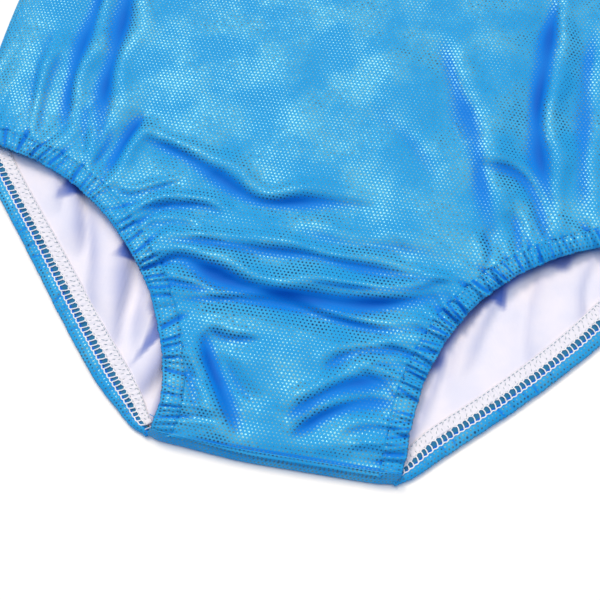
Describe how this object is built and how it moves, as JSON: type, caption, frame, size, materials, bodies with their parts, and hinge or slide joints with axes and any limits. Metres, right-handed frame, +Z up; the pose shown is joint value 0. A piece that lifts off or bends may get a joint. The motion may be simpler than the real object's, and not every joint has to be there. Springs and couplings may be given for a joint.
{
  "type": "gymnastics leotard",
  "caption": "Sleeveless stretch leotard lying flat, front up: foil-dot shell, white lining, ruched elastic leg openings, scoop neck and blank neck label.",
  "frame": {"origin": "middle of the garment's rest on the floor, at the lowest face of the back panel", "axes": "+Y from the crotch to the neck, +X to the wearer's left, +Z up out of the front panel"},
  "size_m": [0.3032, 0.5784, 0.0113],
  "materials": {
    "foil_knit": "sky-blue stretch knit printed with small mirror-bright foil dots",
    "lining_knit": "matte white lining knit with a faint lavender cast",
    "gusset_cotton": "matte off-white cotton jersey",
    "white_elastic": "matte white knitted elastic",
    "blue_thread": "blue polyester sewing thread",
    "white_thread": "white polyester sewing thread",
    "label_satin": "blank white satin ribbon"
  },
  "bodies": {
    "garment": {"back_shell": "foil_knit", "back_lining": "lining_knit", "front_lining": "lining_knit", "front_shell": "foil_knit", "crotch_seam": "foil_knit", "left_side_seam": "foil_knit", "left_shoulder_seam": "foil_knit", "right_side_seam": "foil_knit", "right_shoulder_seam": "foil_knit", "neck_elastic": "white_elastic", "neck_front_hem": "foil_knit", "neck_front_stitches": "blue_thread", "neck_back_hem": "foil_knit", "neck_back_stitches": "white_thread", "left_leg_elastic": "white_elastic", "left_leg_front_hem": "foil_knit", "left_leg_front_stitches": "blue_thread", "left_leg_back_hem": "foil_knit", "left_leg_back_stitches": "white_thread", "left_arm_elastic": "white_elastic", "left_arm_front_hem": "foil_knit", "left_arm_front_stitches": "blue_thread", "left_arm_back_hem": "foil_knit", "left_arm_back_stitches": "white_thread", "right_leg_elastic": "white_elastic", "right_leg_front_hem": "foil_knit", "right_leg_front_stitches": "blue_thread", "right_leg_back_hem": "foil_knit", "right_leg_back_stitches": "white_thread", "right_arm_elastic": "white_elastic", "right_arm_front_hem": "foil_knit", "right_arm_front_stitches": "blue_thread", "right_arm_back_hem": "foil_knit", "right_arm_back_stitches": "white_thread", "left_leg_lining_band": "white_elastic", "left_leg_band_stitches": "white_thread", "right_leg_lining_band": "white_elastic", "right_leg_band_stitches": "white_thread", "crotch_gusset": "gusset_cotton", "neck_label_stitches": "white_thread"},
    "label": {"neck_label": "label_satin"}
  },
  "joints": [
    {"name": "label_flip", "type": "hinge", "parent": "garment", "child": "label", "pos_m": [0, 0.244, 0.0036], "axis": [-1, 0, 0], "range_deg": [0, 160]}
  ]
}
